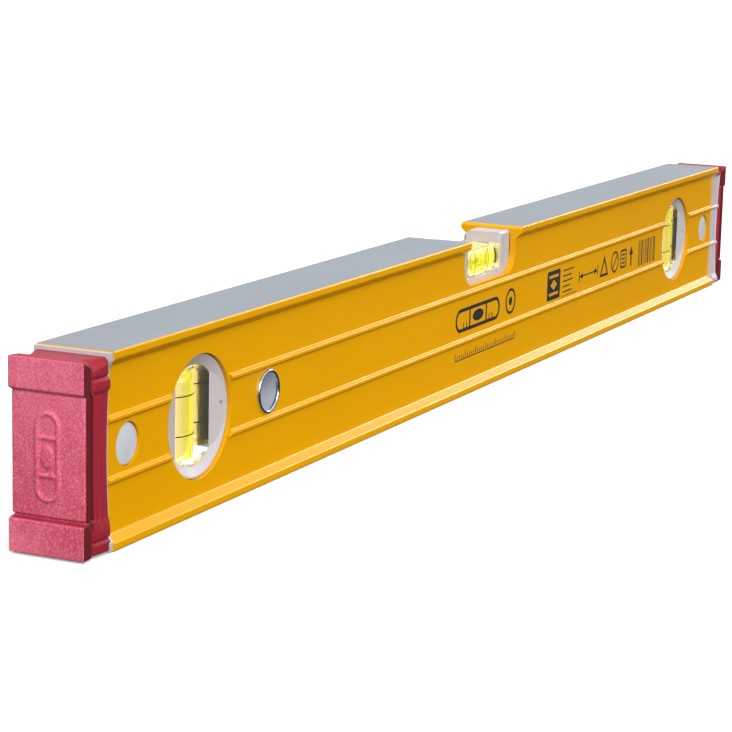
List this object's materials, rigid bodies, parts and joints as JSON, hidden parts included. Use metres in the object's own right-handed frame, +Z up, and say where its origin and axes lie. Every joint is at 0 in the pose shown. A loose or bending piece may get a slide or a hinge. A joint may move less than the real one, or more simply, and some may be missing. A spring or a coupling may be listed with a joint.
{
  "type": "spirit level",
  "caption": "Box-section spirit level with a centre vial in a top notch, an upright plumb vial at each end, a hanging hole and slide-off rubber end caps with lock buttons.",
  "frame": {"origin": "under the middle of the level, on the lower measuring face", "axes": "+X along the level's length, +Z up, -Y towards the front with the hanging sleeve's rolled rim"},
  "size_m": [0.61, 0.027, 0.06],
  "materials": {
    "yellow_profile": "gloss yellow powder coat, milled bare aluminium measuring faces",
    "white_plastic": "satin moulded",
    "red_rubber": "fine spark-eroded grain",
    "acrylic": "polished clear acrylic",
    "vial_fluid": "clear yellow-green liquid",
    "black_ink": "matt black print",
    "stopper_plastic": "moulded",
    "air_bubble": "clear",
    "plated_steel": "bright nickel plate",
    "spring_steel": "tempered strip",
    "button_plastic": "polished light grey"
  },
  "bodies": {
    "level_body": {"box_profile": "yellow_profile", "hanging_sleeve": "plated_steel", "hanging_collar": "plated_steel", "centre_vial_housing": "white_plastic", "centre_vial_block": "acrylic", "centre_vial_fluid": "vial_fluid", "centre_vial_rings": "black_ink", "centre_vial_plug": "stopper_plastic", "left_front_housing": "white_plastic", "left_back_housing": "white_plastic", "left_vial_block": "acrylic", "left_vial_fluid": "vial_fluid", "left_vial_rings": "black_ink", "left_vial_plug": "stopper_plastic", "right_front_housing": "white_plastic", "right_back_housing": "white_plastic", "right_vial_block": "acrylic", "right_vial_fluid": "vial_fluid", "right_vial_rings": "black_ink", "right_vial_plug": "stopper_plastic"},
    "centre_bubble_body": {"centre_bubble": "air_bubble"},
    "left_bubble_body": {"left_bubble": "air_bubble"},
    "left_cap": {"left_cap_core": "white_plastic", "left_cap_bumper": "red_rubber", "left_latch_spring": "spring_steel"},
    "left_front_button": {"left_front_lock_button": "button_plastic"},
    "left_back_button": {"left_back_lock_button": "button_plastic"},
    "right_bubble_body": {"right_bubble": "air_bubble"},
    "right_cap": {"right_cap_core": "white_plastic", "right_cap_bumper": "red_rubber", "right_latch_spring": "spring_steel"},
    "right_front_button": {"right_front_lock_button": "button_plastic"},
    "right_back_button": {"right_back_lock_button": "button_plastic"}
  },
  "joints": [
    {"name": "centre_bubble_drift", "type": "slide", "parent": "level_body", "child": "centre_bubble_body", "axis": [1, 0, 0], "range_m": [-0.0072, 0.0072], "stiffness_N_per_m": 4, "deforming": ["centre_vial_fluid"]},
    {"name": "left_bubble_drift", "type": "slide", "parent": "level_body", "child": "left_bubble_body", "axis": [0, 0, 1], "range_m": [-0.0245, 0], "stiffness_N_per_m": 4, "springref_m": 0.006, "deforming": ["left_vial_fluid"]},
    {"name": "left_cap_slide", "type": "slide", "parent": "level_body", "child": "left_cap", "axis": [-1, 0, 0], "range_m": [0, 0.04], "deforming": ["left_front_lock_button", "left_back_lock_button"]},
    {"name": "left_front_button_press", "type": "slide", "parent": "left_cap", "child": "left_front_button", "axis": [0, 1, 0], "range_m": [0, 0.0023], "stiffness_N_per_m": 300, "springref_m": -0.001, "deforming": ["left_latch_spring"]},
    {"name": "left_back_button_press", "type": "slide", "parent": "left_cap", "child": "left_back_button", "axis": [0, -1, 0], "range_m": [0, 0.0023], "stiffness_N_per_m": 300, "springref_m": -0.001, "deforming": ["left_latch_spring"]},
    {"name": "right_bubble_drift", "type": "slide", "parent": "level_body", "child": "right_bubble_body", "axis": [0, 0, 1], "range_m": [-0.0245, 0], "stiffness_N_per_m": 4, "springref_m": 0.006, "deforming": ["right_vial_fluid"]},
    {"name": "right_cap_slide", "type": "slide", "parent": "level_body", "child": "right_cap", "axis": [1, 0, 0], "range_m": [0, 0.04], "deforming": ["right_front_lock_button", "right_back_lock_button"]},
    {"name": "right_front_button_press", "type": "slide", "parent": "right_cap", "child": "right_front_button", "axis": [0, 1, 0], "range_m": [0, 0.0023], "stiffness_N_per_m": 300, "springref_m": -0.001, "deforming": ["right_latch_spring"]},
    {"name": "right_back_button_press", "type": "slide", "parent": "right_cap", "child": "right_back_button", "axis": [0, -1, 0], "range_m": [0, 0.0023], "stiffness_N_per_m": 300, "springref_m": -0.001, "deforming": ["right_latch_spring"]}
  ]
}
